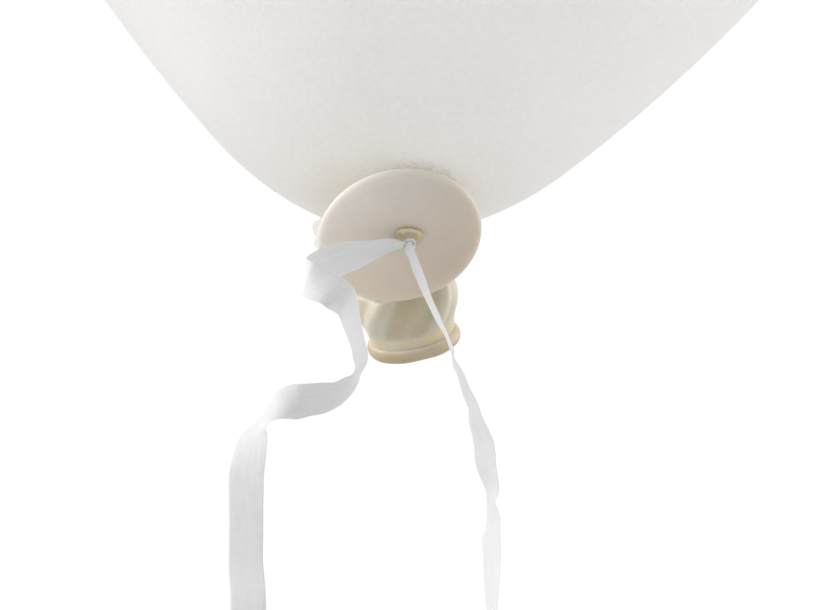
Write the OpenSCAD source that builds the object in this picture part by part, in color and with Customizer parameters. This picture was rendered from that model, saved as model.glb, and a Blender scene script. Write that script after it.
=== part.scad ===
// Inflated latex balloon, seen as it hangs or floats: a pear-shaped bulb whose neck is knotted
// behind a round closure disc. A latex stem comes through the disc and a ribbon is tied round it.
// Millimetres, +Z up. The origin is on the stem, in the middle of the disc's thickness.

/* [Bulb] */
// Radius of the inflated bulb at its widest
bulb_r = 137; // [136:1:139]
// Lean of the bulb's axis towards +X, in degrees
bulb_lean = 5; // [4:0.5:6]
// Thickness of the latex skin
skin_t = 0.35; // [0.3:0.05:0.5]
// Radius where the bulb ends at the throat
throat_r = 5; // [4.6:0.1:5.2]

/* [Closure disc] */
// Radius of the disc
disc_r = 16.6; // [15:0.1:16.8]
// Thickness of the disc at its rim
disc_t = 1.8; // [1.4:0.1:1.8]
// Rise of the disc's face towards its middle
disc_crown = 0.7; // [0.3:0.1:0.9]
// Angle between the disc's face direction and the horizontal
disc_pitch = 63; // [62:0.5:64]
// Turn of the disc's face towards +X
disc_turn = 18; // [16:1:20]
// Gap between the stem and the hole in the disc
disc_fit = 0.05; // [0.03:0.01:0.1]
// Radius of the crinkled film washer
film_r = 18; // [17.5:0.1:18.2]

/* [Neck] */
// Radius over the rolled lip
lip_r = 9.65; // [9.5:0.05:9.8]
// Thickness of the rolled lip
lip_t = 3.3; // [3:0.1:3.5]
// Radius of the neck's mouth
mouth_r = 8.1; // [7.8:0.1:8.2]
// Depth of the straight mouth, from the lip's middle
mouth_depth = 12; // [11:0.5:12.5]

/* [Ribbon] */
// Width of the ribbon
ribbon_w = 7; // [6:0.5:7.5]
// Thickness of the solid that stands for the ribbon
ribbon_t = 0.9; // [0.7:0.1:1]
// Radius of the stored coil over its outermost turn
coil_r = 44; // [43:0.5:45]
// Radial depth of the coil's turns
coil_depth = 10.4; // [9.6:0.2:11]

/* [Hidden] */
$fn = 96;

LATEX = "#EFECE4";
LATEX_THICK = "#CFC3A0";
PLASTIC = "#C9BDAE";
FILM = "#E4E2DC";
RIBBON = "#F2F2F3";

// Bulb outline: a round flare from the throat, a long cone-like arc, then the round crown.
throat_at = [-4.6, 3, 4.6];
flare_r = 80;
flare_from = 18;
flare_to = 48;
flank_r = 450;
flare_c = [throat_r - flare_r * sin(flare_from), flare_r * cos(flare_from)];
flank_c = flare_c + (flare_r - flank_r) * [sin(flare_to), -cos(flare_to)];
flank_to = asin(-flank_c.x / (flank_r - bulb_r));
crown_c = [0, flank_c.y - (flank_r - bulb_r) * cos(flank_to)];
throat_h = 1.2;
throat_end_r = 3;

// Knot, stem and the pocket in which the neck's twisted root turns
knot_at = [-2.5, 4.2, 2.2];
knot_ring_r = 2.3;
knot_strand_r = 1.4;
stem_r = 1.9;
stem_back = 3;
stem_shoulder = 1.6;
stem_tip = 3.4;
stem_tip_r = 1;
root_at = [-1.5, 7.2, 1.5];
root_r = 1.9;
root_fit = 0.25;

// Disc frame: local +Z is the way the disc faces, local +Y points up its front edge.
disc_rot = [90 + disc_pitch, 0, disc_turn];
disc_centre = [-1.3, -0.6];
film_t = 0.35;
film_gap = 0.25;
film_cut_y = -10;
film_hole_r = stem_r + 0.15;

// Neck frame: origin in the middle of the lip, local +Z up the neck towards the knot.
neck_at = [1.5, 34.5, -7.5];
neck_rot = [47, 0, -15];
sleeve_outline = [[8.9, 1.2], [9.1, 2.6], [9.6, 5], [10.3, 7.4], [10.6, 9.4], [10.3, 11.4],
                  [9.3, 13.2], [7.4, 14.6], [4.5, 15.4], [0, 15.7]];
sleeve_join = [-1, 25, 1];
sleeve_join_r = 5;

// Ribbon wound and knotted on the stem, as distances out from the disc's middle
wrap_z = 2.8;
wrap_ring_r = 1.75;
wrap_strand_r = 0.6;
bow_z = 4.2;
bow_r = 1.5;

// Ribbon routes: a point on the middle of the ribbon, and the direction across its width there.
gathered = [0.35, 0.45, 0.65, 0.85, 0.95];
curly_route = [
    [[-0.5, -2, -3.5], [0, 1, 0]], [[-3.5, -3, -4], [0, 3, -2]], [[-6.5, -4, -5.5], [0, 4, -3]],
    [[-9.5, -5, -7], [0, 1, -1]], [[-12.5, -6.5, -8.5], [1, 3, -3]], [[-15.5, -8, -10.5], [1, 2, -3]],
    [[-18, -10, -13], [1, 2, -3]], [[-19.5, -12, -15], [0, 2, -3]], [[-19.5, -14, -16.5], [-1, 2, -3]],
    [[-17.5, -15, -18], [-2, 1, -4]], [[-15, -15.5, -19.5], [-2, 0, -3]], [[-13, -15, -21], [-2, 0, -3]],
    [[-11.5, -14, -23], [-2, -2, -3]], [[-10.5, -12.5, -26], [-2, -3, -3]], [[-9.5, -11, -29], [-2, -4, -3]],
    [[-9, -9.5, -31.5], [-2, -4, -2]], [[-9.5, -8.5, -34], [-1, -4, -2]], [[-11, -7.5, -36], [-1, -5, 0]],
    [[-13.5, -7, -38], [-1, -4, 1]], [[-16.5, -7, -39], [-1, -3, 2]], [[-20, -7, -39.5], [-1, -2, 2]],
    [[-23.5, -6.5, -40], [0, 0, 1]], [[-26.5, -5.5, -41.5], [0, 2, 3]], [[-28.5, -4.5, -43.5], [-1, 3, 2]],
    [[-30, -4.5, -46], [-3, 3, 2]], [[-30.5, -6, -50], [-4, 2, 1]], [[-31, -8, -55.5], [-4, 1, 1]],
    [[-31, -8, -61], [-4, 1, 1]], [[-31, -6, -67], [-4, 1, 1]], [[-31, -4, -73], [-4, 1, 1]],
    [[-30.5, -3.5, -79], [-4, 1, 0]], [[-30.5, -3, -86], [-1, 0, 0]]];
long_route = [
    [[0, -2, -4], [1.5, -2, -1]], [[1, -3, -6], [1.5, -2, -1]], [[2, -3, -9], [1.5, -2, -1]],
    [[3.5, -3.5, -13], [1, -2, -1]], [[5, -4, -17], [0.5, -2, -1]], [[6.5, -4.5, -21], [0.5, -2, -1]],
    [[8, -5, -24.5], [0.2, -2, -1]], [[9, -5, -28], [0.2, -2, -1]], [[9.5, -5.5, -31], [0.2, -2, -1]],
    [[11, -6.5, -35.5], [0.5, -2, -1]], [[12.5, -7.5, -40], [0.5, -2, -1]], [[13.5, -7.5, -44], [1, -2, -1]],
    [[15, -6, -48], [1.5, -2, -1]], [[15.5, -4, -52], [1.5, -2, -1]], [[16.5, -2, -55.5], [1, -2, -1]],
    [[16.5, -0.5, -58], [0.5, -2, -1]], [[16.5, -0.5, -61], [0.5, -2, 0]], [[16.5, -1.5, -64], [1, -2, 0]],
    [[16.5, -3, -68], [1, -2, 0]], [[16.5, -4, -74], [1, -2, 0]], [[16.5, -4, -84], [0.5, -2, 0]],
    [[16.5, -3.5, -98], [0, -1, 0]], [[16.5, -3, -116], [0, -1, 0]], [[16.5, -3, -134], [0, -1, 0]]];

// Coil of the spare ribbon: it hangs in a vertical plane, its axis along Y.
tail_end = long_route[len(long_route) - 1][0];
coil_at = [tail_end.x - ribbon_t / 2 - coil_r + 0.1, tail_end.y, tail_end.z];
coil_w = ribbon_w + 0.6;
tie_t = 0.8;
tie_arc = 9;
tie_from = 85;

// Points on a circle about c, from angle a0 to a1
function arc(c, r, a0, a1, n) = [for (i = [0:n]) let (a = a0 + (a1 - a0) * i / n)
    c + r * [cos(a), sin(a)]];

// The bulb's outline moved inwards by t, from the throat up to the crown
function bulb_outline(t) = concat(
    arc(flare_c, flare_r - t, flare_from - 90, flare_to - 90, 10),
    arc(flank_c, flank_r - t, flare_to - 90 + 1, flank_to - 90 - 1, 12),
    arc(crown_c, bulb_r - t, flank_to - 90, 90, 26));

function unit(v) = v / norm(v);

// Eight corners of a flat ribbon's section at point i of a route
function ribbon_ring(route, i) = let (
    last = len(route) - 1,
    along = unit(route[min(i + 1, last)][0] - route[max(i - 1, 0)][0]),
    wide = route[i][1] - (route[i][1] * along) * along,
    across = unit(wide),
    thick = cross(along, across),
    w = ribbon_w * (i < len(gathered) ? gathered[i] : 1))
    [for (k = [0:7]) route[i][0] + across * w / 2 * cos(45 * k) + thick * ribbon_t / 2 * sin(45 * k)];

module ribbon_tube(route) {
    rings = len(route);
    sides = [for (i = [0:rings - 2]) for (k = [0:7]) let (a = 8 * i + k, b = 8 * i + (k + 1) % 8)
        each [[a, b, b + 8], [a, b + 8, a + 8]]];
    ends = [[for (k = [7:-1:0]) k], [for (k = [0:7]) 8 * (rings - 1) + k]];
    polyhedron([for (i = [0:rings - 1]) each ribbon_ring(route, i)], concat(ends, sides));
}

// Cone between two points
module rod(p, q, r1, r2) {
    d = q - p;
    translate(p) rotate([0, acos(d.z / norm(d)), atan2(d.y, d.x)]) cylinder(h = norm(d), r1 = r1, r2 = r2);
}

// A strand of radius strand_r bent into a ring
module ring(ring_r, strand_r) {
    rotate_extrude() translate([ring_r, 0]) circle(r = strand_r, $fn = 32);
}

module at_bulb() { translate(throat_at) rotate([0, bulb_lean, 0]) children(); }
module at_disc() { rotate(disc_rot) children(); }
module at_neck() { translate(neck_at) rotate(neck_rot) children(); }
module at_coil() { translate(coil_at) rotate([90, 0, 0]) children(); }

module envelope() {
    outer = bulb_outline(0);
    inner = bulb_outline(skin_t);
    floor_in = [0, inner[0].y + skin_t];
    color(LATEX) at_bulb() rotate_extrude() polygon(concat(
        [[0, 0]], outer, [for (i = [len(inner) - 1:-1:0]) [max(inner[i].x, 0), inner[i].y]], [floor_in]));
}

module throat() {
    color(LATEX_THICK) at_bulb() translate([0, 0, -throat_h])
        cylinder(h = throat_h, r1 = throat_end_r, r2 = throat_r);
}

module knot() {
    color(LATEX_THICK) difference() {
        translate(knot_at) union() {
            ring(knot_ring_r, knot_strand_r);
            cylinder(h = 2 * knot_strand_r * 0.8, r = knot_ring_r, center = true);
        }
        translate(root_at) sphere(r = root_r + root_fit);
    }
}

module stem() {
    color(LATEX_THICK) at_disc() rotate_extrude() polygon([[0, -stem_back], [stem_r, -stem_back],
        [stem_r, stem_shoulder], [stem_tip_r, stem_tip], [0, stem_tip]]);
}

module neck_sleeve() {
    color(LATEX_THICK) difference() {
        union() {
            at_neck() rotate_extrude() polygon(concat([[0, sleeve_outline[0].y]], sleeve_outline));
            rod(root_at, sleeve_join, root_r * 0.9, sleeve_join_r);
            translate(root_at) sphere(r = root_r);
        }
        at_neck() cylinder(h = mouth_depth, r = mouth_r);
    }
}

module rolled_lip() {
    color(LATEX_THICK) at_neck() difference() {
        intersection() {
            ring(lip_r - lip_t / 2, lip_t / 2);
            translate([0, 0, -lip_t]) cylinder(h = lip_t + sleeve_outline[0].y, r = lip_r + 1);
        }
        cylinder(h = 3 * lip_t, r = mouth_r, center = true);
    }
}

module closure_disc() {
    rim = disc_t / 2;
    face_r = disc_r - rim;
    dome_r = (face_r * face_r + disc_crown * disc_crown) / (2 * disc_crown);
    dome_a = asin(face_r / dome_r);
    color(PLASTIC) at_disc() difference() {
        translate(disc_centre) rotate_extrude() polygon(concat(
            [[0, -rim]], arc([face_r, 0], rim, -90, 90, 12),
            arc([0, rim + disc_crown - dome_r], dome_r, 90 - dome_a * 0.92, 90, 10)));
        cylinder(h = 6 * disc_t, r = stem_r + disc_fit, center = true);
    }
}

module seal_film() {
    color(FILM) at_disc() translate([0, 0, -disc_t / 2 - film_gap - film_t]) difference() {
        translate(disc_centre) cylinder(h = film_t, r = film_r);
        translate([-film_r - 5, film_cut_y - film_r, -1]) cube([2 * film_r + 10, film_r, film_t + 2]);
        translate([0, 0, -1]) cylinder(h = film_t + 2, r = film_hole_r);
    }
}

module ribbon_wrap() {
    color(RIBBON) at_disc() translate([0, 0, wrap_z]) ring(wrap_ring_r, wrap_strand_r);
}

module ribbon_knot() {
    color(RIBBON) at_disc() translate([0, 0, bow_z]) sphere(r = bow_r);
}

module curly_tail() { color(RIBBON) ribbon_tube(curly_route); }

module long_tail() { color(RIBBON) ribbon_tube(long_route); }

module tail_coil() {
    color(RIBBON) at_coil() rotate_extrude()
        translate([coil_r - coil_depth, -coil_w / 2]) square([coil_depth, coil_w]);
}

module coil_tie() {
    color(RIBBON) at_coil() rotate_extrude(angle = tie_arc, start = tie_from) difference() {
        translate([coil_r - coil_depth - tie_t, -coil_w / 2 - tie_t])
            square([coil_depth + 2 * tie_t, coil_w + 2 * tie_t]);
        translate([coil_r - coil_depth, -coil_w / 2]) square([coil_depth, coil_w]);
    }
}

envelope();
throat();
knot();
stem();
neck_sleeve();
rolled_lip();
closure_disc();
seal_film();
ribbon_wrap();
ribbon_knot();
curly_tail();
long_tail();
tail_coil();
coil_tie();
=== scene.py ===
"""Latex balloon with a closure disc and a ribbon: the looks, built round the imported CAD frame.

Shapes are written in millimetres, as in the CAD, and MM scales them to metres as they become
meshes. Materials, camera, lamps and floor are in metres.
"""
import math

import bpy
import numpy as np
from mathutils import Euler, Matrix, Vector


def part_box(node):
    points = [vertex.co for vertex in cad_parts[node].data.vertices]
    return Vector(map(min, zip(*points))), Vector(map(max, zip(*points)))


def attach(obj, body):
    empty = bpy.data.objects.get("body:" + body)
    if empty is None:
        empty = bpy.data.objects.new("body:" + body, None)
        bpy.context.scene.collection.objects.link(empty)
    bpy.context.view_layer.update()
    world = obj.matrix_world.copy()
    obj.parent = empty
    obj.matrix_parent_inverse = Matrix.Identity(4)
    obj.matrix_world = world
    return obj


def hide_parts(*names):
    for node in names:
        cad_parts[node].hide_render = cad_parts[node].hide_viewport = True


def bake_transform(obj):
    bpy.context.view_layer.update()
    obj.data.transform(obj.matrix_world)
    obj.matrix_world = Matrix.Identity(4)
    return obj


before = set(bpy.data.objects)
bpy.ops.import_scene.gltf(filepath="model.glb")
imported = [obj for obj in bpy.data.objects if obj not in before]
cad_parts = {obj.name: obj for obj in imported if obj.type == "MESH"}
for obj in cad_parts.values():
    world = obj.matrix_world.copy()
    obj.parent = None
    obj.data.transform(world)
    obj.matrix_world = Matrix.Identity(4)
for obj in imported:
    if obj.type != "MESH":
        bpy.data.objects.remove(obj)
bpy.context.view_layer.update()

MM = 0.001
FULL_TURN = 2 * math.pi
THREAD_UV = "thread"

# ---------------------------------------------------------------- camera

VIEW_UP = math.radians(25)
VIEW_DISTANCE = 1.0
FRAME_WIDTH = 0.1626
FRAME_DROP = 14.2 * MM
SENSOR = 36.0


def make_camera():
    """Looks up past the object from VIEW_DISTANCE away, where the view is FRAME_WIDTH wide."""
    look = Vector((0, math.cos(VIEW_UP), math.sin(VIEW_UP)))
    up = Vector((0, -math.sin(VIEW_UP), math.cos(VIEW_UP)))
    data = bpy.data.cameras.new("camera")
    data.sensor_width = SENSOR
    data.lens = SENSOR * VIEW_DISTANCE / FRAME_WIDTH
    camera = bpy.data.objects.new("camera", data)
    bpy.context.scene.collection.objects.link(camera)
    camera.location = -VIEW_DISTANCE * look - FRAME_DROP * up
    camera.rotation_euler = (math.radians(90) + VIEW_UP, 0, 0)
    bpy.context.scene.camera = camera


make_camera()

# ---------------------------------------------------------------- mesh helpers


def arc(centre, radius, start, end, steps):
    """Points on a circle, angles in degrees."""
    a = np.radians(np.linspace(start, end, steps + 1))
    return np.column_stack([centre[0] + radius * np.cos(a), centre[1] + radius * np.sin(a)])


def place(rotation, offset):
    """Matrix of a CAD frame: rotation in degrees about X, Y, Z in turn, then the offset."""
    turn = Euler([math.radians(a) for a in rotation], "XYZ").to_matrix().to_4x4()
    return Matrix.Translation(Vector(offset) * MM) @ turn


def moved(points, matrix):
    """Applies a matrix to an array of points in millimetres and returns metres."""
    m = np.array(matrix)
    return (points * MM) @ m[:3, :3].T + m[:3, 3]


def unit(v):
    return v / np.linalg.norm(v, axis=-1, keepdims=True)


def turn_angles(sides):
    """That many angles round a circle."""
    return np.arange(sides) * FULL_TURN / sides


def round_rows(radius, height, angles):
    """Rows of points round the Z axis, from a radius and a height per row and angle."""
    return np.stack([radius * np.cos(angles), radius * np.sin(angles), height + 0 * angles], -1)


def closed(rows):
    """The rows with the first one again at the end, so a grid of them closes on itself."""
    return np.concatenate([rows, rows[:1]])


def ease(x, low, high):
    """Smooth step from 0 at low to 1 at high."""
    t = np.clip((x - low) / (high - low), 0, 1)
    return t * t * (3 - 2 * t)


def corner_vertices(mesh):
    """The vertex under each face corner."""
    found = np.empty(len(mesh.loops), dtype=np.int64)
    mesh.loops.foreach_get("vertex_index", found)
    return found


def add_uv(mesh, name, u, v):
    """A UV map from one u and one v per face corner."""
    mesh.uv_layers.new(name=name).data.foreach_set("uv", np.column_stack([u, v]).ravel())


def grid_object(name, points, caps=(False, False), shade=None):
    """A tube-like mesh: rows of points, each row a closed loop. shade is a value per point."""
    rows, cols = points.shape[:2]
    faces = []
    for i in range(rows - 1):
        for j in range(cols):
            k = (j + 1) % cols
            faces.append((i * cols + j, i * cols + k, (i + 1) * cols + k, (i + 1) * cols + j))
    if caps[0]:
        faces.append(tuple(range(cols - 1, -1, -1)))
    if caps[1]:
        faces.append(tuple(range((rows - 1) * cols, rows * cols)))
    mesh = bpy.data.meshes.new(name)
    mesh.from_pydata(points.reshape(-1, 3).tolist(), [], faces)
    if shade is not None:
        layer = mesh.attributes.new("shade", "FLOAT", "POINT")
        layer.data.foreach_set("value", np.asarray(shade, float).ravel())
    mesh.shade_smooth()
    mesh.update()
    obj = bpy.data.objects.new(name, mesh)
    bpy.context.scene.collection.objects.link(obj)
    return obj


def finish_piece(obj, body, slot, material, *nodes):
    """Gives a piece its material and the body it rides on, and hides the CAD nodes it replaces; slot is not
    used.
    """
    obj.data.materials.append(material)
    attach(obj, body)
    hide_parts(*nodes)
    return obj


def smooth_route(points, steps):
    """Catmull-Rom curve through the points, steps to each stretch."""
    p = np.asarray(points, float)
    p = np.vstack([2 * p[0] - p[1], p, 2 * p[-1] - p[-2]])
    out = []
    for i in range(1, len(p) - 2):
        for t in np.arange(steps) / steps:
            out.append(0.5 * (2 * p[i] + (p[i + 1] - p[i - 1]) * t
                              + (2 * p[i - 1] - 5 * p[i] + 4 * p[i + 1] - p[i + 2]) * t ** 2
                              + (3 * p[i] - p[i - 1] - 3 * p[i + 1] + p[i + 2]) * t ** 3))
    out.append(p[-2])
    return np.array(out)


ASKEW = np.array([0.13, 0.21, 1.0])


def tube_points(path, radius, sides, grooves, depth, twist):
    """A tube round a closed path; lengthwise grooves twist round it. ASKEW is a way no path takes."""
    n = len(path)
    along = unit(np.roll(path, -1, 0) - np.roll(path, 1, 0))
    side = unit(np.cross(along, ASKEW))
    top = np.cross(side, along)
    a = turn_angles(sides)
    wave = 1 + depth * np.cos(grooves * a[None, :] + twist * np.arange(n)[:, None] * FULL_TURN / n)
    ring = np.cos(a)[None, :, None] * side[:, None] + np.sin(a)[None, :, None] * top[:, None]
    return path[:, None] + radius * wave[..., None] * ring


def bake_modifiers(obj):
    """Replaces the object's mesh by what its modifiers make of it."""
    graph = bpy.context.evaluated_depsgraph_get()
    graph.update()
    made = bpy.data.meshes.new_from_object(obj.evaluated_get(graph))
    old = obj.data
    obj.modifiers.clear()
    obj.data = made
    bpy.data.meshes.remove(old)
    made.name = obj.name


def knot_object(name, size, strand, grooves, voxel, matrix):
    """An overhand knot: a grooved trefoil strand fused into one skin. Sizes in millimetres."""
    t = turn_angles(120)
    path = np.column_stack([(2 + np.cos(3 * t)) * np.cos(2 * t) * size[0] / 3,
                            (2 + np.cos(3 * t)) * np.sin(2 * t) * size[1] / 3,
                            np.sin(3 * t) * size[2]])
    obj = grid_object(name, closed(tube_points(path, strand, 20, grooves, 0.13, 2)) * MM)
    fuse = obj.modifiers.new("fuse", "REMESH")
    fuse.mode = "VOXEL"
    fuse.voxel_size = voxel * MM
    obj.modifiers.new("soften", "SMOOTH").iterations = 3
    bake_modifiers(obj)
    obj.data.transform(matrix)
    obj.data.shade_smooth()
    return obj


# ---------------------------------------------------------------- material helper


class Shader:
    """A Principled material with short ways to add procedural colour and bump."""

    def __init__(self, name, **sockets):
        self.material = bpy.data.materials.new(name)
        self.material.use_nodes = True
        self.tree = self.material.node_tree
        self.bsdf = self.tree.nodes["Principled BSDF"]
        for socket, value in sockets.items():
            self.bsdf.inputs[socket.replace("_", " ")].default_value = value
        self.place = self.add("ShaderNodeTexCoord").outputs["Object"]
        self.bump_input = None

    def add(self, kind, **settings):
        node = self.tree.nodes.new(kind)
        for key, value in settings.items():
            setattr(node, key, value)
        return node

    def link(self, a, b):
        self.tree.links.new(a, b)

    def noise(self, size, detail=3.0, rough=0.55, stretch=(1, 1, 1), place=None):
        """Noise whose features are about size metres across, from 0 to 1."""
        node = self.add("ShaderNodeTexNoise")
        node.inputs["Scale"].default_value = 1 / size
        node.inputs["Detail"].default_value = detail
        node.inputs["Roughness"].default_value = rough
        source = place or self.place
        if stretch != (1, 1, 1):
            mapping = self.add("ShaderNodeMapping")
            mapping.inputs["Scale"].default_value = stretch
            self.link(source, mapping.inputs["Vector"])
            source = mapping.outputs["Vector"]
        self.link(source, node.inputs["Vector"])
        return node.outputs["Fac"]

    def distance(self, point):
        node = self.add("ShaderNodeVectorMath", operation="DISTANCE")
        self.link(self.place, node.inputs[0])
        node.inputs[1].default_value = point
        return node.outputs["Value"]

    def math(self, operation, a, b=0.0):
        node = self.add("ShaderNodeMath", operation=operation)
        for socket, value in zip(node.inputs, (a, b)):
            if isinstance(value, (int, float)):
                socket.default_value = value
            else:
                self.link(value, socket)
        return node.outputs[0]

    def remap(self, value, low, high, to_low=0.0, to_high=1.0, smooth=True):
        node = self.add("ShaderNodeMapRange")
        node.interpolation_type = "SMOOTHSTEP" if smooth else "LINEAR"
        limits = {"From Min": low, "From Max": high, "To Min": to_low, "To Max": to_high}
        for socket, number in limits.items():
            node.inputs[socket].default_value = number
        self.link(value, node.inputs["Value"])
        return node.outputs["Result"]

    def ramp(self, value, stops):
        """Colour ramp; stops are (position, (r, g, b))."""
        node = self.add("ShaderNodeValToRGB")
        elements = node.color_ramp.elements
        while len(elements) < len(stops):
            elements.new(0.5)
        for element, (at, colour) in zip(elements, stops):
            element.position = at
            element.color = (*colour, 1)
        self.link(value, node.inputs["Fac"])
        return node.outputs["Color"]

    def mix(self, amount, a, b, blend="MIX"):
        node = self.add("ShaderNodeMix", data_type="RGBA", blend_type=blend)
        for socket, value in ((node.inputs[0], amount), (node.inputs[6], a), (node.inputs[7], b)):
            if isinstance(value, tuple):
                socket.default_value = (*value, 1)
            elif isinstance(value, (int, float)):
                socket.default_value = value
            else:
                self.link(value, socket)
        return node.outputs[2]

    def attribute(self, name):
        return self.add("ShaderNodeAttribute", attribute_name=name).outputs["Fac"]

    def bump(self, height, strength, depth):
        node = self.add("ShaderNodeBump")
        node.inputs["Strength"].default_value = strength
        node.inputs["Distance"].default_value = depth
        self.link(height, node.inputs["Height"])
        if self.bump_input:
            self.link(self.bump_input, node.inputs["Normal"])
        self.bump_input = node.outputs["Normal"]
        self.link(self.bump_input, self.bsdf.inputs["Normal"])

    def set(self, socket, value):
        self.link(value, self.bsdf.inputs[socket])

    def let_through(self, colour, share):
        """Lets a share of the light through to the other side, as a thin sheet does."""
        thin = self.add("ShaderNodeBsdfTranslucent")
        self.link(colour, thin.inputs["Color"])
        both = self.add("ShaderNodeMixShader")
        both.inputs[0].default_value = share
        self.link(self.bsdf.outputs[0], both.inputs[1])
        self.link(thin.outputs[0], both.inputs[2])
        self.link(both.outputs[0], self.tree.nodes["Material Output"].inputs["Surface"])


# ---------------------------------------------------------------- frames and sizes shared with the CAD

BULB_R = 137.0
CROWN_HEIGHT = 355.3
THROAT_R = 5.0
FLARE_R, FLARE_FROM, FLARE_TO = 80.0, 18.0, 48.0
FLANK_R = 450.0
BULB_PLACE = place((0, 5, 0), (-4.6, 3, 4.6))
DISC_PLACE = place((153, 0, 18), (0, 0, 0))
DISC_CENTRE = np.array([-1.3, -0.6, 0])
NECK_PLACE = place((47, 0, -15), (1.5, 34.5, -7.5))
KNOT_AT = (-2.5, 4.2, 2.2)
RIBBON_W = 7.0
RIBBON_T = 0.16

# ---------------------------------------------------------------- materials


def latex_skin():
    """Stretched latex: off-white, faintly mottled, warmer towards the throat: thicker there, plus painted
    glow.

    It is a thin shell, so part of the light that falls on it comes through to the other side.
    """
    s = Shader("latex_skin", Roughness=0.42, IOR=1.5, Specular_IOR_Level=0.35)
    throat = BULB_PLACE @ Vector((0, 0, 0))
    crown = BULB_PLACE @ Vector((0, 0, CROWN_HEIGHT * MM))
    # Warmer towards the throat: the thicker latex, and a painted glow of light coming through there.
    near = s.remap(s.distance(throat), 0.0, 0.12, smooth=False)
    base = s.ramp(near, [(0.0, (0.68, 0.57, 0.38)), (0.08, (0.87, 0.82, 0.72)), (0.17, (0.945, 0.93, 0.895)),
                         (0.4, (0.962, 0.955, 0.94)), (1.0, (0.965, 0.96, 0.948))])
    top = s.remap(s.distance(crown), 0.004, 0.026, 0.55, 0.0)
    base = s.mix(top, base, (0.74, 0.68, 0.52))
    cloud = s.remap(s.noise(0.03, 2), 0.3, 0.7, 0.985, 1.01)
    grain = s.remap(s.noise(0.0011, 4, 0.7), 0.3, 0.7, 0.97, 1.015)
    base = s.mix(1.0, base, s.math("MULTIPLY", cloud, grain), "MULTIPLY")
    s.set("Base Color", base)
    s.set("Roughness", s.remap(s.noise(0.006, 3), 0.3, 0.7, 0.38, 0.48))
    s.bump(s.noise(0.0008, 4, 0.6), 0.2, 0.00005)
    s.let_through(base, 0.5)
    return s.material


def latex_neck():
    """Unstretched, thick olive-cream latex; shade over 0 paints amber glow, under 0 deep-fold shade."""
    s = Shader("latex_neck", Roughness=0.4, IOR=1.5, Subsurface_Weight=0.5, Subsurface_Scale=0.0025,
               Specular_IOR_Level=0.45)
    s.bsdf.inputs["Subsurface Radius"].default_value = (1.0, 0.8, 0.45)
    olive, cream = (0.68, 0.60, 0.465), (0.73, 0.66, 0.535)
    amber, fold = (0.80, 0.62, 0.32), (0.50, 0.42, 0.27)
    shade = s.attribute("shade")
    base = s.mix(s.remap(s.noise(0.009, 2), 0.35, 0.65), olive, cream)
    # Painted light and shade: amber glow where shade is over 0, fold shade where it is under 0.
    base = s.mix(s.remap(shade, 0, 1, smooth=False), base, amber)
    base = s.mix(s.remap(shade, 0, -1, smooth=False), base, fold)
    base = s.mix(1.0, base, s.remap(s.noise(0.0009, 4, 0.7), 0.3, 0.7, 0.96, 1.025), "MULTIPLY")
    s.set("Base Color", base)
    s.set("Roughness", s.remap(s.noise(0.002, 3), 0.3, 0.7, 0.33, 0.48))
    s.bump(s.noise(0.0007, 4, 0.6), 0.25, 0.00006)
    return s.material


def disc_plastic():
    """Translucent greige moulded plastic with a fine grain, and painted amber glow and shade towards the
    hole.

    Painted light makes one side of the rim paler and greyer; painted shade makes it browner away from it.
    """
    lit_grey, shaded_brown = (0.785, 0.745, 0.71), (0.475, 0.425, 0.36)
    s = Shader("disc_plastic", Roughness=0.5, IOR=1.48, Subsurface_Weight=0.7, Subsurface_Scale=0.006,
               Specular_IOR_Level=0.3)
    s.bsdf.inputs["Subsurface Radius"].default_value = (1.0, 0.85, 0.7)
    # Painted amber glow and shade towards the hole, and a little painted light at the rim.
    out = s.remap(s.distance((0, 0, 0)), 0.002, 0.018, smooth=False)
    base = s.ramp(out, [(0.0, (0.70, 0.54, 0.31)), (0.14, (0.77, 0.66, 0.50)), (0.5, (0.76, 0.68, 0.57)),
                        (0.9, (0.74, 0.675, 0.59)), (1.0, (0.77, 0.72, 0.655))])
    # Painted light on one side of the rim, painted shade away from it.
    lit_side = DISC_PLACE @ Vector((-0.014, 0.005, 0))
    away = s.remap(s.distance(lit_side), 0.0, 0.036)
    base = s.mix(away, s.mix(0.72, base, lit_grey), s.mix(0.65, base, shaded_brown))
    grain = s.remap(s.noise(0.0006, 4, 0.7), 0.3, 0.7, 0.98, 1.015)
    cloud = s.remap(s.noise(0.007, 2), 0.3, 0.7, 0.975, 1.015)
    base = s.mix(1.0, base, s.math("MULTIPLY", grain, cloud), "MULTIPLY")
    s.set("Base Color", base)
    s.set("Roughness", s.remap(s.noise(0.003, 3), 0.3, 0.7, 0.44, 0.56))
    s.bump(s.noise(0.0005, 4, 0.65), 0.2, 0.00005)
    return s.material


def film_clear():
    """Thin crinkled film: glossy, cloudy and mostly see-through."""
    s = Shader("film_clear", Roughness=0.22, IOR=1.45, Specular_IOR_Level=0.4, Alpha=0.32)
    base = s.mix(s.remap(s.noise(0.0015, 3), 0.3, 0.7), (0.95, 0.93, 0.89), (0.98, 0.97, 0.95))
    s.set("Base Color", base)
    s.set("Roughness", s.remap(s.noise(0.001, 3), 0.3, 0.7, 0.15, 0.4))
    s.bump(s.noise(0.0009, 4, 0.6), 0.3, 0.0001)
    s.let_through(base, 0.22)
    return s.material


THREAD_GAP = 0.45


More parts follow.
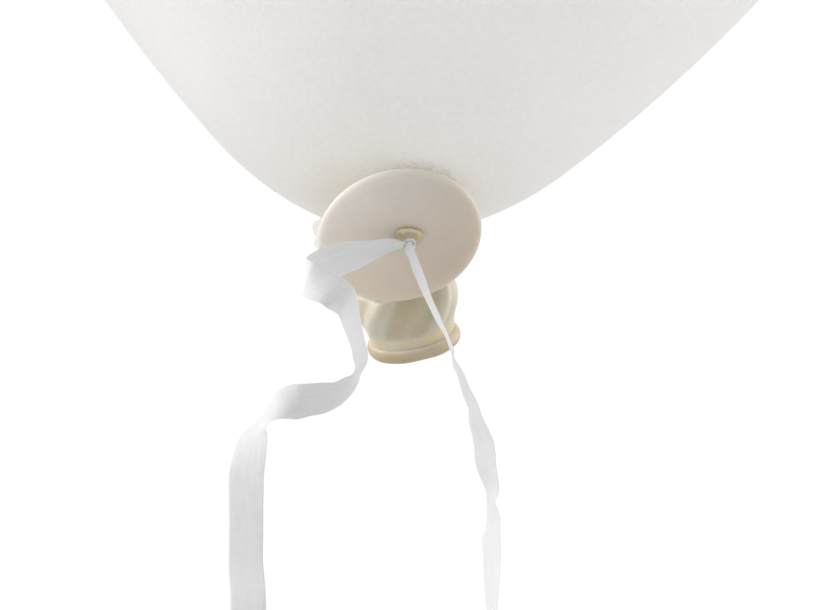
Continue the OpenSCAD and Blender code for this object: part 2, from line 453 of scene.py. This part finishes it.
def ribbon_cloth():
    """Fine woven tape: close lengthwise threads and fainter ones across, laid by the thread map."""
    s = Shader("ribbon_cloth", Roughness=0.62, IOR=1.45, Specular_IOR_Level=0.3, Sheen_Weight=0.2,
               Sheen_Roughness=0.5)
    uv = s.add("ShaderNodeUVMap", uv_map=THREAD_UV).outputs["UV"]
    split = s.add("ShaderNodeSeparateXYZ")
    s.link(uv, split.inputs[0])
    warp = s.math("SINE", s.math("MULTIPLY", split.outputs["X"], FULL_TURN / (THREAD_GAP * MM)))
    streak = s.noise(0.0005, 4, 0.65, (1, 0.05, 1), uv)
    slub = s.noise(0.0005, 4, 0.65, (0.08, 1, 1), uv)
    base = s.mix(s.remap(warp, -1, 1, 0.3, 0.7), (0.89, 0.888, 0.888), (0.92, 0.918, 0.916))
    threads = s.math("MULTIPLY", s.remap(streak, 0.3, 0.7, 0.965, 1.02),
                     s.remap(slub, 0.3, 0.7, 0.98, 1.01))
    base = s.mix(1.0, base, threads, "MULTIPLY")
    s.set("Base Color", base)
    s.set("Roughness", s.remap(streak, 0.3, 0.7, 0.55, 0.7))
    s.bump(s.math("ADD", streak, s.math("MULTIPLY", slub, 0.5)), 0.35, 0.00006)
    s.let_through(base, 0.22)
    return s.material


LATEX_SKIN = latex_skin()
LATEX_NECK = latex_neck()
DISC_PLASTIC = disc_plastic()
FILM_CLEAR = film_clear()
RIBBON_CLOTH = ribbon_cloth()

# ---------------------------------------------------------------- ribbon


def strip_object(name, centre, across, width, crease):
    """A flat woven strip: a loop of points round its section at each place along it.

    width is its width and crease the height of its lengthwise fold, both per place, millimetres.
    The columns are closer near the edges, which the section rounds off.
    """
    along = unit(np.gradient(centre, axis=0))
    across = unit(across - (across * along).sum(1)[:, None] * along)
    face = np.cross(along, across)
    half = np.array([0.12, 0.24, 0.36, 0.46, 0.485, 0.5])
    u = np.concatenate([-half[::-1], [0.0], half])
    edge = np.concatenate([u, u[::-1]])
    side = np.concatenate([np.ones(len(u)), -np.ones(len(u))])
    thin = np.sqrt(np.clip(1 - (2 * np.abs(edge)) ** 12, 0.05, 1))
    fold = 1 - np.sqrt((2 * edge) ** 2 + 0.02)
    lift = side * RIBBON_T / 2 * thin + crease[:, None] * fold[None]
    points = (centre[:, None] + across[:, None] * (edge * width[:, None])[..., None]
              + face[:, None] * lift[..., None])
    obj = grid_object(name, points * MM, (True, True))
    run = np.concatenate([[0], np.cumsum(np.linalg.norm(np.diff(centre, axis=0), axis=1))])
    corner = corner_vertices(obj.data)
    row, col = corner // len(edge), corner % len(edge)
    add_uv(obj.data, THREAD_UV, edge[col] * RIBBON_W * MM, run[row] * MM)
    return obj


ROUTE_STEPS = 6


def at_start(count, values, rest):
    """Values at the first route points, joined evenly to rest after them."""
    known = np.arange(len(values) + 1) * ROUTE_STEPS
    return np.interp(np.arange(count), known, [*values, rest])


# Share of the full width and height of the fold at each ribbon's first route points.
CURLY_WIDTH = [0.35, 0.45, 0.65, 0.85, 0.95]
CURLY_CREASE = [0.6, 0.8, 0.9, 0.5, 0.2]
LONG_WIDTH = [0.3, 0.38, 0.42, 0.45, 0.5, 0.55, 0.65, 0.8, 0.9]
LONG_CREASE = [0.7, 0.9, 1.1, 1.2, 1.0, 0.8, 0.5, 0.3]

# Each row is a place on the ribbon's centre line and a direction across it, as in the CAD.
CURLY_ROUTE = [
    [[-0.5, -2, -3.5], [0, 1, 0]], [[-3.5, -3, -4], [0, 3, -2]], [[-6.5, -4, -5.5], [0, 4, -3]],
    [[-9.5, -5, -7], [0, 1, -1]], [[-12.5, -6.5, -8.5], [1, 3, -3]], [[-15.5, -8, -10.5], [1, 2, -3]],
    [[-18, -10, -13], [1, 2, -3]], [[-19.5, -12, -15], [0, 2, -3]], [[-19.5, -14, -16.5], [-1, 2, -3]],
    [[-17.5, -15, -18], [-2, 1, -4]], [[-15, -15.5, -19.5], [-2, 0, -3]], [[-13, -15, -21], [-2, 0, -3]],
    [[-11.5, -14, -23], [-2, -2, -3]], [[-10.5, -12.5, -26], [-2, -3, -3]], [[-9.5, -11, -29], [-2, -4, -3]],
    [[-9, -9.5, -31.5], [-2, -4, -2]], [[-9.5, -8.5, -34], [-1, -4, -2]], [[-11, -7.5, -36], [-1, -5, 0]],
    [[-13.5, -7, -38], [-1, -4, 1]], [[-16.5, -7, -39], [-1, -3, 2]], [[-20, -7, -39.5], [-1, -2, 2]],
    [[-23.5, -6.5, -40], [0, 0, 1]], [[-26.5, -5.5, -41.5], [0, 2, 3]], [[-28.5, -4.5, -43.5], [-1, 3, 2]],
    [[-30, -4.5, -46], [-3, 3, 2]], [[-30.5, -6, -50], [-4, 2, 1]], [[-31, -8, -55.5], [-4, 1, 1]],
    [[-31, -8, -61], [-4, 1, 1]], [[-31, -6, -67], [-4, 1, 1]], [[-31, -4, -73], [-4, 1, 1]],
    [[-30.5, -3.5, -79], [-4, 1, 0]], [[-30.5, -3, -86], [-1, 0, 0]]]
LONG_ROUTE = [
    [[0, -2, -4], [1.5, -2, -1]], [[1, -3, -6], [1.5, -2, -1]], [[2, -3, -9], [1.5, -2, -1]],
    [[3.5, -3.5, -13], [1, -2, -1]], [[5, -4, -17], [0.5, -2, -1]], [[6.5, -4.5, -21], [0.5, -2, -1]],
    [[8, -5, -24.5], [0.2, -2, -1]], [[9, -5, -28], [0.2, -2, -1]], [[9.5, -5.5, -31], [0.2, -2, -1]],
    [[11, -6.5, -35.5], [0.5, -2, -1]], [[12.5, -7.5, -40], [0.5, -2, -1]], [[13.5, -7.5, -44], [1, -2, -1]],
    [[15, -6, -48], [1.5, -2, -1]], [[15.5, -4, -52], [1.5, -2, -1]], [[16.5, -2, -55.5], [1, -2, -1]],
    [[16.5, -0.5, -58], [0.5, -2, -1]], [[16.5, -0.5, -61], [0.5, -2, 0]], [[16.5, -1.5, -64], [1, -2, 0]],
    [[16.5, -3, -68], [1, -2, 0]], [[16.5, -4, -74], [1, -2, 0]], [[16.5, -4, -84], [0.5, -2, 0]],
    [[16.5, -3.5, -98], [0, -1, 0]], [[16.5, -3, -116], [0, -1, 0]], [[16.5, -3, -134], [0, -1, 0]]]

# Radius of the coil's outer turn, how far each turn lies inside the one before, and its sideways sway.
COIL_OUTER = 43.6
COIL_TURNS = 3.5
COIL_PITCH = 2.65
COIL_SWAY = 0.25
COIL_STEPS = 40
# Width of the band, how far its line lies inside the tie's box along Y and Z, and thread laid per row.
BAND_W = 6.2
BAND_INSET_Y = 0.3
BAND_INSET_Z = 0.5
BAND_ROW = 0.7


def coil_route():
    """The spare ribbon: turns that run inwards, in a vertical plane, from the long tail's end."""
    x, y, z = LONG_ROUTE[-1][0]
    turn = np.arange(1, int(COIL_TURNS * COIL_STEPS) + 1) / COIL_STEPS
    radius = COIL_OUTER - COIL_PITCH * turn
    a = -turn * FULL_TURN
    sway = COIL_SWAY * np.sin(turn * 5.1)
    return np.column_stack([x - COIL_OUTER + radius * np.cos(a), y + sway, z + radius * np.sin(a)])


def ribbon_line(route):
    """Centre line of a ribbon and the direction across it at each place."""
    centre = smooth_route([point for point, _ in route], ROUTE_STEPS)
    across = smooth_route(unit(np.array([way for _, way in route], float)), ROUTE_STEPS)
    return centre, across


def make_curly_tail():
    """The short ribbon that hangs from the knot in curls."""
    centre, across = ribbon_line(CURLY_ROUTE)
    width = RIBBON_W * at_start(len(centre), CURLY_WIDTH, 1.0)
    crease = at_start(len(centre), CURLY_CREASE, 0.0)
    obj = strip_object("curly_ribbon", centre, across, width, crease)
    finish_piece(obj, "balloon", "ribbon_cloth", RIBBON_CLOTH, "curly_tail")


def make_coil_band():
    """The short band of ribbon round the coil: a flat strip along a ring with nearly square corners."""
    low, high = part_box("coil_tie")
    middle = (np.array(low) + np.array(high)) / 2 / MM
    half_y = (high.y - low.y) / 2 / MM - BAND_INSET_Y
    half_z = (high.z - low.z) / 2 / MM - BAND_INSET_Z
    a = turn_angles(72)
    squareness = 0.35
    ring_y = half_y * np.sign(np.cos(a)) * np.abs(np.cos(a)) ** squareness
    ring_z = half_z * np.sign(np.sin(a)) * np.abs(np.sin(a)) ** squareness
    centre = np.column_stack([np.full_like(a, middle[0]), middle[1] + ring_y, middle[2] + ring_z])
    out = unit(np.column_stack([np.zeros_like(a), ring_y / half_y, ring_z / half_z]))
    u = np.array([-0.5, -0.45, -0.2, 0.2, 0.45, 0.5, 0.5, 0.45, 0.2, -0.2, -0.45, -0.5])
    side = np.array([0.3, 1, 1, 1, 1, 0.3, -0.3, -1, -1, -1, -1, -0.3]) * RIBBON_T / 2
    sway = 0.3 * np.sin(3 * a)
    points = (centre[:, None] + out[:, None] * side[None, :, None]
              + np.array([1.0, 0, 0]) * (u[None, :, None] * BAND_W + sway[:, None, None]))
    obj = grid_object("coil_band", closed(points) * MM)
    corner = corner_vertices(obj.data)
    add_uv(obj.data, THREAD_UV, u[corner % len(u)] * BAND_W * MM, corner // len(u) * BAND_ROW * MM)
    return finish_piece(obj, "balloon", "ribbon_cloth", RIBBON_CLOTH, "coil_tie")


def make_long_tail():
    """The long ribbon with its spare coil, and the band that holds the coil."""
    band = make_coil_band()
    free, across = ribbon_line(LONG_ROUTE)
    coil = coil_route()
    centre = np.concatenate([free, coil])
    across = np.concatenate([across, np.tile([0.0, -1.0, 0.0], (len(coil), 1))])
    width = RIBBON_W * at_start(len(centre), LONG_WIDTH, 1.0)
    crease = at_start(len(centre), LONG_CREASE, 0.0)
    obj = strip_object("long_ribbon", centre, across, width, crease)
    finish_piece(obj, "balloon", "ribbon_cloth", RIBBON_CLOTH, "long_tail", "tail_coil")


make_curly_tail()
make_long_tail()

# ---------------------------------------------------------------- bulb


def bulb_outline():
    """The CAD bulb's outline as (radius, height) rows: flare, flank and round crown."""
    s, c = math.sin(math.radians(FLARE_FROM)), math.cos(math.radians(FLARE_FROM))
    flare_c = np.array([THROAT_R - FLARE_R * s, FLARE_R * c])
    s, c = math.sin(math.radians(FLARE_TO)), math.cos(math.radians(FLARE_TO))
    flank_c = flare_c + (FLARE_R - FLANK_R) * np.array([s, -c])
    flank_to = math.degrees(math.asin(-flank_c[0] / (FLANK_R - BULB_R)))
    crown_c = (0, flank_c[1] - (FLANK_R - BULB_R) * math.cos(math.radians(flank_to)))
    gather = [(2.2, -2.0), (2.5, -1.6), (3.0, -1.1), (3.8, -0.55)]
    return np.concatenate([
        gather,
        arc(flare_c, FLARE_R, FLARE_FROM - 90, FLARE_TO - 90, 48),
        arc(flank_c, FLANK_R, FLARE_TO - 90, flank_to - 90, 60)[1:],
        arc(crown_c, BULB_R, flank_to - 90, 89.7, 96)[1:]])


THROAT_TOP = 120.0
CROWN_FROM = 200.0


def make_bulb():
    """The whole skin: swirled gathers that die out above the throat, and a small nipple at the crown."""
    outline = bulb_outline()
    a = turn_angles(288)
    r, z = outline[:, 0][:, None], outline[:, 1][:, None]
    swirl = a[None] + 0.9 * np.exp(-(r - 2) / 7)
    folds = (np.abs(np.sin(8.5 * swirl + 0.4)) * 0.6 + 0.4 * np.cos(13 * swirl + 1.1)
             + 0.3 * np.cos(23 * swirl + 2.0) - 0.4)
    depth = 0.5 * np.exp(-(r - 3) / 5.5) * (z < THROAT_TOP)
    nipple = 0.5 * np.exp(-(r / 5) ** 2) * (z > CROWN_FROM)
    r_out = r - 0.15 * depth + depth * folds * 0.5
    z_out = z + depth * folds * 0.35 + nipple
    obj = grid_object("bulb_skin", moved(round_rows(r_out, z_out, a), BULB_PLACE), (True, True))
    finish_piece(obj, "balloon", "latex_skin", LATEX_SKIN, "envelope", "throat")


make_bulb()

# ---------------------------------------------------------------- knot, stem and ribbon knot


def make_knot():
    """The knot in the latex that closes the throat."""
    obj = knot_object("latex_knot", (2.6, 2.6, 0.65), 0.95, 5, 0.12, place((0, 0, 0), KNOT_AT))
    finish_piece(obj, "balloon", "latex_neck", LATEX_NECK, "knot")


# Height, half width, half depth, rise towards the disc's upper edge.
STEM_SECTIONS = [
    (-3.0, 1.2, 1.2, 0), (-2.6, 1.75, 1.75, 0), (-1.0, 1.85, 1.85, 0), (0.9, 1.88, 1.88, 0),
    (1.4, 1.9, 1.88, 0), (1.62, 2.3, 1.8, 0.5), (1.78, 2.8, 1.45, 1.3), (1.95, 2.55, 1.0, 1.9),
    (2.2, 2.05, 0.9, 2.0), (2.5, 1.6, 0.85, 1.7), (2.9, 1.25, 0.8, 1.2), (3.4, 1.0, 0.8, 0.6),
    (3.9, 0.85, 0.75, 0.1), (4.1, 0.6, 0.5, 0), (4.3, 0.25, 0.2, 0)]


def make_stem():
    """The latex nub: it fills the disc's hole, spreads on the face and gathers to the ribbon."""
    height, wide, deep, rise = [column[:, None] for column in smooth_route(STEM_SECTIONS, 5).T]
    a = turn_angles(96)[None]
    folds = 0.6 * np.abs(np.sin(4.5 * a + 0.5)) + 0.3 * np.cos(7 * a + height * 0.5) - 0.3
    grow = 1 + 0.16 * ease(height, 1.5, 2.2) * folds
    points = np.stack([wide * grow * np.cos(a), deep * grow * np.sin(a) + rise, height + 0 * a], -1)
    # Painted light and shade: amber glow up to the part spread on the face, shade on the gathered top.
    shade = 0.9 * ease(-height, -2.5, -2.2) - 0.9 * ease(height, 2.3, 2.7) + 0 * a
    obj = grid_object("latex_stem", moved(points, DISC_PLACE), (True, True), shade)
    finish_piece(obj, "balloon", "latex_neck", LATEX_NECK, "stem")


def thread_uv(obj):
    """Lays the threads straight through a gathered piece, by its X and Z."""
    at = np.empty(len(obj.data.vertices) * 3)
    obj.data.vertices.foreach_get("co", at)
    at = at.reshape(-1, 3)[corner_vertices(obj.data)]
    add_uv(obj.data, THREAD_UV, at[:, 0], at[:, 2])


STRAND_R = 0.36
BOW_HEIGHT = 4.2


def make_ribbon_turns():
    """Gathered ribbon wound twice round the stem."""
    a = 2 * turn_angles(160)
    radius = 1.0 + 0.05 * np.sin(3.3 * a)
    height = 3.2 + 0.3 * np.sin(a / 2) + 0.06 * np.sin(2.7 * a)
    path = np.column_stack([radius * np.cos(a), radius * np.sin(a) + 0.2, height])
    points = tube_points(path, STRAND_R, 20, 5, 0.18, 9)
    obj = grid_object("ribbon_turns", moved(closed(points), DISC_PLACE))
    thread_uv(obj)
    finish_piece(obj, "balloon", "ribbon_cloth", RIBBON_CLOTH, "ribbon_wrap")


def make_ribbon_bow():
    """The small tight knot where the two ribbons leave the stem."""
    obj = knot_object("ribbon_bow", (0.85, 0.8, 0.35), STRAND_R, 4, 0.06,
                      DISC_PLACE @ place((0, 0, 0), (0, 0, BOW_HEIGHT)))
    thread_uv(obj)
    finish_piece(obj, "balloon", "ribbon_cloth", RIBBON_CLOTH, "ribbon_knot")


make_knot()
make_stem()
make_ribbon_turns()
make_ribbon_bow()

# ---------------------------------------------------------------- disc and film

DISC_R = 16.6
DISC_RIM = 0.9
DISC_CROWN = 0.7
HOLE_R = 1.95


def make_disc():
    """Moulded disc: rounded rim, low dome, softened hole. Its middle lies beside the hole's."""
    face_r = DISC_R - DISC_RIM
    top = DISC_RIM + DISC_CROWN
    back = [(HOLE_R, 0.5), (HOLE_R + 0.05, -0.5), (HOLE_R + 0.3, -DISC_RIM), (6, -DISC_RIM)]
    rim = arc((face_r, 0), DISC_RIM, -90, 84, 18)
    u = np.linspace(0.985, 0.0, 26)
    dome = np.column_stack([face_r * u, DISC_RIM + DISC_CROWN * (1 - u ** 2)])
    dome = dome[dome[:, 0] > HOLE_R + 0.35]
    hole = [(HOLE_R + 0.22, top - 0.05), (HOLE_R + 0.06, top - 0.2), (HOLE_R, top - 0.45), (HOLE_R, 0.5)]
    outline = np.concatenate([back, rim, dome, hole])
    a = turn_angles(180)
    r, h = outline[:, 0][:, None], outline[:, 1][:, None]
    shift = ease(r, HOLE_R + 0.6, 7)[..., None] * DISC_CENTRE
    warp = 0.06 * np.cos(2 * a + 0.7) * (r / DISC_R) ** 2
    points = round_rows(r, h + warp, a) + shift
    obj = grid_object("disc_face", moved(points, DISC_PLACE))
    finish_piece(obj, "disc", "disc_plastic", DISC_PLASTIC, "closure_disc")


FILM_HOLE_R = 2.1
FILM_R = 15.9
FILM_BACK = -1.2
FILM_T = 0.05
FILM_CUT = -9.4
# Angle in degrees, reach past the film's radius, and half width in degrees of each lobe.
FILM_LOBES = [(186, 1.6, 8), (202, 1.1, 6), (87, 1.9, 8), (70, 1.3, 7), (103, 1.0, 6)]


def make_film():
    """Crinkled film washer: radial folds that deepen to the rim, with a few lobes past the disc.

    Its lower edge is cut straight, so it stays clear of the neck.
    """
    a = turn_angles(540)
    edge = FILM_R + 0.12 * np.sin(31 * a) + 0.08 * np.sin(47 * a + 1)
    for at, reach, spread in FILM_LOBES:
        gap = (np.degrees(a) - at + 180) % 360 - 180
        edge += reach * np.exp(-(gap / spread) ** 2)
    cut = FILM_CUT / np.minimum(np.sin(a), -1e-6)
    edge = np.where(np.sin(a) < -0.3, np.minimum(edge, cut), edge)
    t = np.linspace(0, 1, 40)[:, None]
    r = FILM_HOLE_R + (edge[None] - FILM_HOLE_R) * t
    folds = (np.abs(np.sin(17 * a + 1.2 * np.sin(3 * a))) * 0.6 + 0.35 * np.cos(29 * a + 2)
             + 0.25 * np.cos(53 * a + r * 0.4))
    depth = 0.12 + 0.5 * ease(r, 13, 18)
    height = FILM_BACK - depth * np.clip(folds, 0, 1.2)
    front = round_rows(r, height, a) + ease(r, 3, 8)[..., None] * DISC_CENTRE
    back = front[::-1] - np.array([0, 0, FILM_T])
    points = closed(np.concatenate([front, back]))
    obj = grid_object("film_frill", moved(points, DISC_PLACE))
    finish_piece(obj, "balloon", "film_clear", FILM_CLEAR, "seal_film")


make_disc()
make_film()

# ---------------------------------------------------------------- neck

NECK_WALL = 0.45
NECK_OPEN_DEPTH = 13.5
# Distance up from the mouth and radius.
SLEEVE = [(0.0, 8.7), (1.2, 8.8), (2.6, 8.95), (5, 9.5), (7.4, 10.2), (9.4, 10.5), (11.4, 10.2), (12.9, 9.4)]
# Centre, radius, and how far the rings have turned from the sleeve's way to the root's.
SHOULDER = [((-1, 24.5, 1.8), 7.6, 0.3), ((-1, 22.5, 2.2), 5.9, 0.55), ((-1, 19.5, 2), 4.4, 0.78),
            ((-1, 16, 1.6), 3.3, 0.92), ((-1.2, 12.5, 1.4), 2.5, 1.0), ((-1.3, 9.5, 1.4), 2.05, 1.0),
            ((-1.5, 7.2, 1.5), 1.85, 1.0), ((-1.9, 5.4, 1.9), 1.5, 1.0)]
ROOT_WAY = np.array([0, -1.0, 0])
NECK_FRONT = np.array([0, -0.75, -0.65])
# Angle round the neck, half width in radians, height.
PLEATS = [(0.25, 0.26, 0.8), (0.85, 0.24, 1.0), (1.55, 0.22, 0.3), (2.4, 0.30, 1.35), (3.15, 0.3, 0.6),
          (3.75, 0.24, 0.9), (4.3, 0.22, 1.1), (4.85, 0.26, 0.8), (5.45, 0.24, 1.0), (6.0, 0.22, 0.7)]


def neck_rings():
    """Rings from the mouth to the root: centre, the way the neck runs, radius and distance run."""
    turn = np.array(NECK_PLACE)[:3, :3]
    up = turn @ np.array([0, 0, 1.0])
    mouth = np.array(NECK_PLACE)[:3, 3] / MM
    rows = [(mouth + up * s, up, r) for s, r in SLEEVE]
    rows += [(np.array(c), unit(up * (1 - k) + ROOT_WAY * k), r) for c, r, k in SHOULDER]
    centre = smooth_route([row[0] for row in rows], 8)
    way = unit(smooth_route([row[1] for row in rows], 8))
    radius = smooth_route([[row[2]] for row in rows], 8)[:, 0]
    run = np.concatenate([[0], np.cumsum(np.linalg.norm(np.diff(centre, axis=0), axis=1))])
    return centre, way, radius, run


def neck_surface(inset):
    """Points of the pleated neck moved inwards by inset millimetres, distance run, and fold height.

    Each pleat is a soft slanting ridge.
    """
    centre, way, radius, run = neck_rings()
    a = turn_angles(240)[None]
    side = unit(np.cross(way, NECK_FRONT))
    front = np.cross(side, way)
    s = run[:, None]
    slant = a + 0.06 * (s - 6)
    folds = -0.45 + 0 * slant
    for at, half, high in PLEATS:
        gap = (slant - at + math.pi) % FULL_TURN - math.pi
        folds = folds + high * np.exp(-(gap / half) ** 2)
    depth = 0.02 + 0.11 * ease(s, 2.0, 8) + 0.05 * ease(s, 14, 24)
    r = (radius[:, None] - inset) * (1 + depth * folds)
    points = (centre[:, None] + side[:, None] * (r * np.cos(a))[..., None]
              + front[:, None] * (r * np.sin(a))[..., None])
    return points, np.broadcast_to(s, r.shape), folds


def make_neck():
    """The neck's tail, from the knot to the mouth and up again inside; it bends at the knot.

    A glow is painted next to the bead, and painted shade darkens the folds between the pleats.
    """
    outer, run, folds = neck_surface(0.0)
    inner, inner_run, _ = neck_surface(NECK_WALL)
    keep = inner_run[:, 0] < NECK_OPEN_DEPTH
    points = np.concatenate([outer[::-1], inner[keep]])
    # Painted glow next to the bead, brighter on the pleats' ridges, and painted shade in the folds.
    painted_glow = 0.9 * np.exp(-((run - 2.7) / 1.1) ** 2) * (0.75 + 0.25 * np.clip(folds, -1, 1))
    shade = painted_glow - 0.75 * ease(-folds, -0.35, 0.4) * ease(run, 1.5, 5)
    shade = np.concatenate([shade[::-1], 0 * inner_run[keep]])
    obj = grid_object("neck_skirt", points * MM, (True, True), shade)
    obj.data.materials.append(LATEX_NECK)
    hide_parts("neck_sleeve")
    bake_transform(obj)


LIP_R = 8.0
LIP_BEAD_R = 1.68


def make_lip():
    """Rolled bead round the mouth: painted amber glow by the neck, painted shade below and on one side."""
    a = turn_angles(200)
    b = turn_angles(32)
    fat = LIP_BEAD_R + 0.06 * np.cos(3 * a + 1) + 0.03 * np.cos(8 * a)
    ring_r = LIP_R + 0.06 * np.cos(2 * a + 0.5)
    r = ring_r[:, None] + fat[:, None] * np.cos(b)
    h = fat[:, None] * np.sin(b) + 0.07 * np.sin(4 * a)[:, None]
    points = np.stack([r * np.cos(a)[:, None], r * np.sin(a)[:, None], h], -1)
    # Painted amber glow on top, painted shade underneath and towards one side.
    shade = 0.6 * ease(h, 1.05, 1.55) - 0.55 * ease(-h, -1.3, -0.7) - 0.3 * ease(-h, -0.6, 0.5)
    shade = shade - 0.65 * ease(-np.cos(a), -0.4, 0.7)[:, None]
    obj = grid_object("lip_bead", moved(closed(points), NECK_PLACE), shade=closed(shade))
    finish_piece(obj, "neck", "latex_neck", LATEX_NECK, "rolled_lip")


make_neck()
make_lip()

# ---------------------------------------------------------------- stage and light

FLOOR_HALF = 12.0
FLOOR_LEVEL = -0.75
SKY_SEEN = 1.02
SKY_SOFT = 0.755
# Name, place, diameter and power of each lamp.
LAMPS = [("key", (-1.2, -0.12, 0.55), 0.9, 10.5), ("side", (1.2, 0.3, 0.5), 1.0, 8),
         ("low", (-0.34, -0.24, -0.02), 0.22, 0.1)]


def make_floor():
    """A wide sheet of pale paper well below the object."""
    mesh = bpy.data.meshes.new("floor")
    corners = [(-1, -1), (1, -1), (1, 1), (-1, 1)]
    mesh.from_pydata([(x * FLOOR_HALF, y * FLOOR_HALF, FLOOR_LEVEL) for x, y in corners], [], [(0, 1, 2, 3)])
    floor = bpy.data.objects.new("floor", mesh)
    bpy.context.scene.collection.objects.link(floor)
    s = Shader("floor_paper", Roughness=0.9)
    s.set("Base Color", s.mix(s.noise(0.4, 2), (0.66, 0.66, 0.66), (0.70, 0.70, 0.70)))
    mesh.materials.append(s.material)


def area_light(name, at, size, power):
    """A round soft lamp that points at the origin and stays out of the picture."""
    data = bpy.data.lights.new(name, "AREA")
    data.shape = "DISK"
    data.size = size
    data.energy = power
    lamp = bpy.data.objects.new(name, data)
    bpy.context.scene.collection.objects.link(lamp)
    lamp.location = at
    lamp.visible_camera = False
    lamp.rotation_euler = (-Vector(at)).to_track_quat("-Z", "Y").to_euler()


def make_world():
    """White to the camera, softer on the object."""
    world = bpy.data.worlds.new("studio")
    bpy.context.scene.world = world
    world.use_nodes = True
    tree = world.node_tree
    tree.nodes.clear()
    seen = tree.nodes.new("ShaderNodeBackground")
    seen.inputs["Color"].default_value = (1, 1, 1, 1)
    seen.inputs["Strength"].default_value = SKY_SEEN
    soft = tree.nodes.new("ShaderNodeBackground")
    soft.inputs["Color"].default_value = (0.99, 0.99, 1, 1)
    soft.inputs["Strength"].default_value = SKY_SOFT
    path = tree.nodes.new("ShaderNodeLightPath")
    mix = tree.nodes.new("ShaderNodeMixShader")
    out = tree.nodes.new("ShaderNodeOutputWorld")
    tree.links.new(path.outputs["Is Camera Ray"], mix.inputs[0])
    tree.links.new(soft.outputs[0], mix.inputs[1])
    tree.links.new(seen.outputs[0], mix.inputs[2])
    tree.links.new(mix.outputs[0], out.inputs[0])


make_floor()
for lamp in LAMPS:
    area_light(*lamp)
make_world()
bpy.context.scene.view_settings.view_transform = "Standard"
